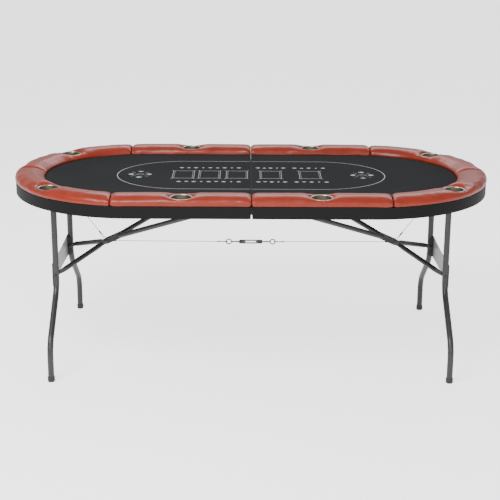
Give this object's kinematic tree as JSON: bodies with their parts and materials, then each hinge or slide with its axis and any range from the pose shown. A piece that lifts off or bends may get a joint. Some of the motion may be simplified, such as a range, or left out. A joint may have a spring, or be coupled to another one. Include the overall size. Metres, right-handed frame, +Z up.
{
  "type": "folding poker table",
  "caption": "Folding poker table with an oval two-piece top, padded brown leatherette rail, steel cup holders, printed black cloth and wire-braced folding tube legs",
  "frame": {"origin": "bottom centre of the bounding box, on the floor under the seam", "axes": "+X along the table to the right, +Y away from the front long side, +Z up"},
  "size_m": [1.9804, 1.0284, 0.786],
  "materials": {
    "black_stained_plywood": "black stained plywood with a faint grain",
    "black_laminate": "smooth satin black",
    "foam": "dark closed-cell foam",
    "black_speed_cloth": null,
    "brown_leatherette": "glossy reddish brown coated fabric with a fine leather grain",
    "polished_stainless": "polished flange and satin cup inside",
    "black_painted_steel": "satin black paint",
    "black_powder_coat": "semi-gloss powder coat, faint texture",
    "grey_painted_sheet": "satin grey paint on pressed sheet",
    "zinc_plated_steel": "bright zinc plating",
    "steel_wire": "stranded steel wire rope",
    "wire_ferrules": "pressed sleeves",
    "black_plastic": "matt moulded foot caps"
  },
  "bodies": {
    "left_half": {"left_playing_board": "black_stained_plywood", "left_apron": "black_laminate", "left_centre_rail": "black_stained_plywood", "left_foam_underlay": "foam", "left_speed_cloth": "black_speed_cloth", "left_cup_holders": "polished_stainless", "left_front_cushion": "brown_leatherette", "left_front_corner_cushion": "brown_leatherette", "left_rear_corner_cushion": "brown_leatherette", "left_rear_cushion": "brown_leatherette", "left_leg_saddles": "black_painted_steel", "left_brace_clevises": "black_painted_steel", "left_brace_rivets": "zinc_plated_steel", "left_bracket_screws": "zinc_plated_steel", "left_tie_wire": "steel_wire", "left_stay_wire": "steel_wire", "left_wire_fittings": "wire_ferrules", "left_hinge_leaves": "black_painted_steel", "hinge_pins": "zinc_plated_steel"},
    "right_half": {"right_playing_board": "black_stained_plywood", "right_apron": "black_laminate", "right_centre_rail": "black_stained_plywood", "right_foam_underlay": "foam", "right_speed_cloth": "black_speed_cloth", "right_cup_holders": "polished_stainless", "right_front_cushion": "brown_leatherette", "right_front_corner_cushion": "brown_leatherette", "right_rear_corner_cushion": "brown_leatherette", "right_rear_cushion": "brown_leatherette", "right_leg_saddles": "black_painted_steel", "right_brace_clevises": "black_painted_steel", "right_brace_rivets": "zinc_plated_steel", "right_bracket_screws": "zinc_plated_steel", "right_tie_wire": "steel_wire", "right_stay_wire": "steel_wire", "right_wire_fittings": "wire_ferrules", "right_hinge_leaves": "black_painted_steel"},
    "left_legs": {"left_front_leg_tube": "black_powder_coat", "left_rear_leg_tube": "black_powder_coat", "left_leg_crossbar": "black_powder_coat", "left_gusset_plate": "grey_painted_sheet", "left_brace_bolts": "zinc_plated_steel", "left_foot_caps": "black_plastic"},
    "right_legs": {"right_front_leg_tube": "black_powder_coat", "right_rear_leg_tube": "black_powder_coat", "right_leg_crossbar": "black_powder_coat", "right_gusset_plate": "grey_painted_sheet", "right_brace_bolts": "zinc_plated_steel", "right_foot_caps": "black_plastic"},
    "left_lower_brace": {"left_lower_brace_arms": "black_powder_coat"},
    "right_lower_brace": {"right_lower_brace_arms": "black_powder_coat"},
    "left_upper_brace": {"left_knee_block": "black_painted_steel", "left_upper_brace_arms": "black_powder_coat", "left_knee_pin": "zinc_plated_steel"},
    "right_upper_brace": {"right_knee_block": "black_painted_steel", "right_upper_brace_arms": "black_powder_coat", "right_knee_pin": "zinc_plated_steel"},
    "tie_eyes": {"left_eye_bolt": "zinc_plated_steel", "right_eye_bolt": "zinc_plated_steel"},
    "turnbuckle": {"turnbuckle_body": "zinc_plated_steel"}
  },
  "joints": [
    {"name": "centre_fold", "type": "hinge", "parent": "left_half", "child": "right_half", "pos_m": [0, 0, 0.6995], "axis": [0, 1, 0], "range_deg": [0, 50]},
    {"name": "left_leg_fold", "type": "hinge", "parent": "left_half", "child": "left_legs", "pos_m": [-0.808, 0, 0.722], "axis": [0, -1, 0], "range_deg": [0, 90], "deforming": ["left_tie_wire", "left_stay_wire", "left_wire_fittings"]},
    {"name": "left_lower_brace_fold", "type": "hinge", "parent": "left_legs", "child": "left_lower_brace", "pos_m": [-0.808, 0, 0.382], "axis": [0, -1, 0], "range_deg": [0, 66.2]},
    {"name": "left_upper_brace_fold", "type": "hinge", "parent": "left_half", "child": "left_upper_brace", "pos_m": [-0.05995, 0, 0.722], "axis": [0, -1, 0], "range_deg": [-24.7, 0]},
    {"name": "right_leg_fold", "type": "hinge", "parent": "right_half", "child": "right_legs", "pos_m": [0.808, 0, 0.722], "axis": [0, 1, 0], "range_deg": [0, 90], "deforming": ["right_tie_wire", "right_stay_wire", "right_wire_fittings"]},
    {"name": "right_lower_brace_fold", "type": "hinge", "parent": "right_legs", "child": "right_lower_brace", "pos_m": [0.808, 0, 0.382], "axis": [0, 1, 0], "range_deg": [0, 66.2]},
    {"name": "right_upper_brace_fold", "type": "hinge", "parent": "right_half", "child": "right_upper_brace", "pos_m": [0.05995, 0, 0.722], "axis": [0, 1, 0], "range_deg": [-24.7, 0]},
    {"name": "tie_stow", "type": "slide", "parent": "left_half", "child": "tie_eyes", "axis": [-0.5467, 0.045, 0.8361], "range_m": [0, 0.3115]},
    {"name": "turnbuckle_spin", "type": "hinge", "parent": "tie_eyes", "child": "turnbuckle", "pos_m": [0, 0, 0.464], "axis": [1, 0, 0], "continuous": true}
  ],
  "couplings": [
    {"joint": "left_lower_brace_fold", "follows": "left_leg_fold", "ratio": 0.73375},
    {"joint": "left_upper_brace_fold", "follows": "left_leg_fold", "ratio": -0.27338},
    {"joint": "right_lower_brace_fold", "follows": "right_leg_fold", "ratio": 0.73375},
    {"joint": "right_upper_brace_fold", "follows": "right_leg_fold", "ratio": -0.27338},
    {"joint": "tie_stow", "follows": "left_leg_fold", "m_per_rad": 0.19796}
  ]
}
